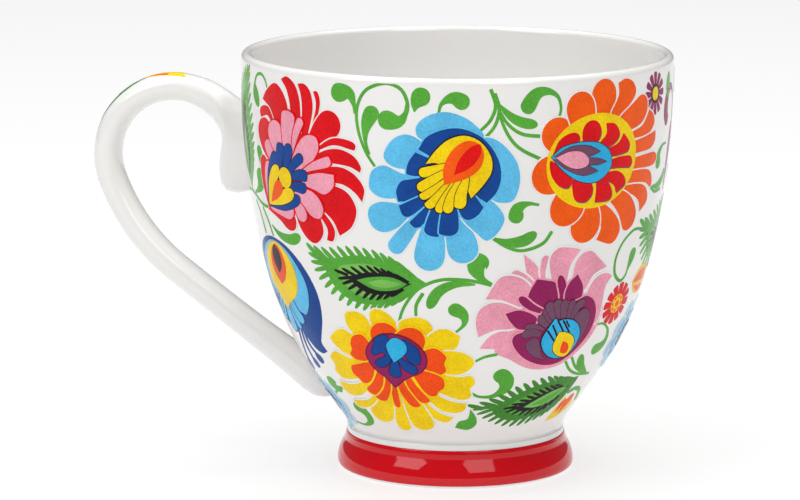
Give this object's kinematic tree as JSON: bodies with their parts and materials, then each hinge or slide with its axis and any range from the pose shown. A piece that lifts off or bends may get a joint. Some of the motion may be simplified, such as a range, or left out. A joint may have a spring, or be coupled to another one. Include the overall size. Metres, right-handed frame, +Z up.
{
  "type": "footed mug",
  "caption": "Footed porcelain mug with a looped handle, a red-banded foot and folk flower decoration in coloured enamels.",
  "frame": {"origin": "centre of the foot ring's rest plane, on the bowl's axis", "axes": "+Z up along the bowl's axis, -X towards the handle, which lies in the XZ plane, and -Y towards the front of the decoration"},
  "size_m": [0.1476, 0.1084, 0.1055],
  "materials": {
    "white_glaze": "clear glossy glaze over white porcelain",
    "slip": "glazed over, slightly soft-edged slip",
    "foot_red_enamel": "glossy brushed-on band",
    "red_enamel": "glossy on-glaze enamel",
    "sky_blue_enamel": "glossy on-glaze enamel",
    "orange_enamel": "glossy on-glaze enamel",
    "navy_enamel": "glossy on-glaze enamel",
    "green_enamel": "glossy on-glaze enamel",
    "yellow_enamel": "glossy on-glaze enamel",
    "pink_enamel": "glossy on-glaze enamel",
    "plum_enamel": "glossy on-glaze enamel"
  },
  "bodies": {
    "root": {"bowl": "white_glaze", "foot": "white_glaze", "handle": "white_glaze", "foot_slip_joint": "slip", "upper_slip_joint": "slip", "lower_slip_joint": "slip", "red_fan_flower": "red_enamel", "blue_rosette": "sky_blue_enamel", "orange_rosette": "orange_enamel", "peacock_flower": "navy_enamel", "upper_feather_leaf": "green_enamel", "yellow_rosette": "yellow_enamel", "pink_tulip": "pink_enamel", "lower_feather_leaf": "green_enamel", "plum_daisy": "plum_enamel", "red_daisy": "red_enamel", "right_feather_leaf": "green_enamel", "plum_scroll": "plum_enamel", "pale_blue_flower": "sky_blue_enamel", "left_feather_leaf": "green_enamel", "left_pale_flower": "sky_blue_enamel", "back_red_fan_flower": "red_enamel", "back_blue_rosette": "sky_blue_enamel", "back_orange_rosette": "orange_enamel", "back_feather_leaf": "green_enamel", "back_yellow_rosette": "yellow_enamel", "back_pink_tulip": "pink_enamel", "back_peacock_flower": "navy_enamel", "back_low_leaf": "green_enamel", "back_plum_daisy": "plum_enamel", "back_red_daisy": "red_enamel", "rim_sprigs": "green_enamel", "middle_sprigs": "green_enamel", "base_sprigs": "green_enamel", "foot_band": "foot_red_enamel", "handle_enamel": "yellow_enamel"}
  },
  "joints": []
}
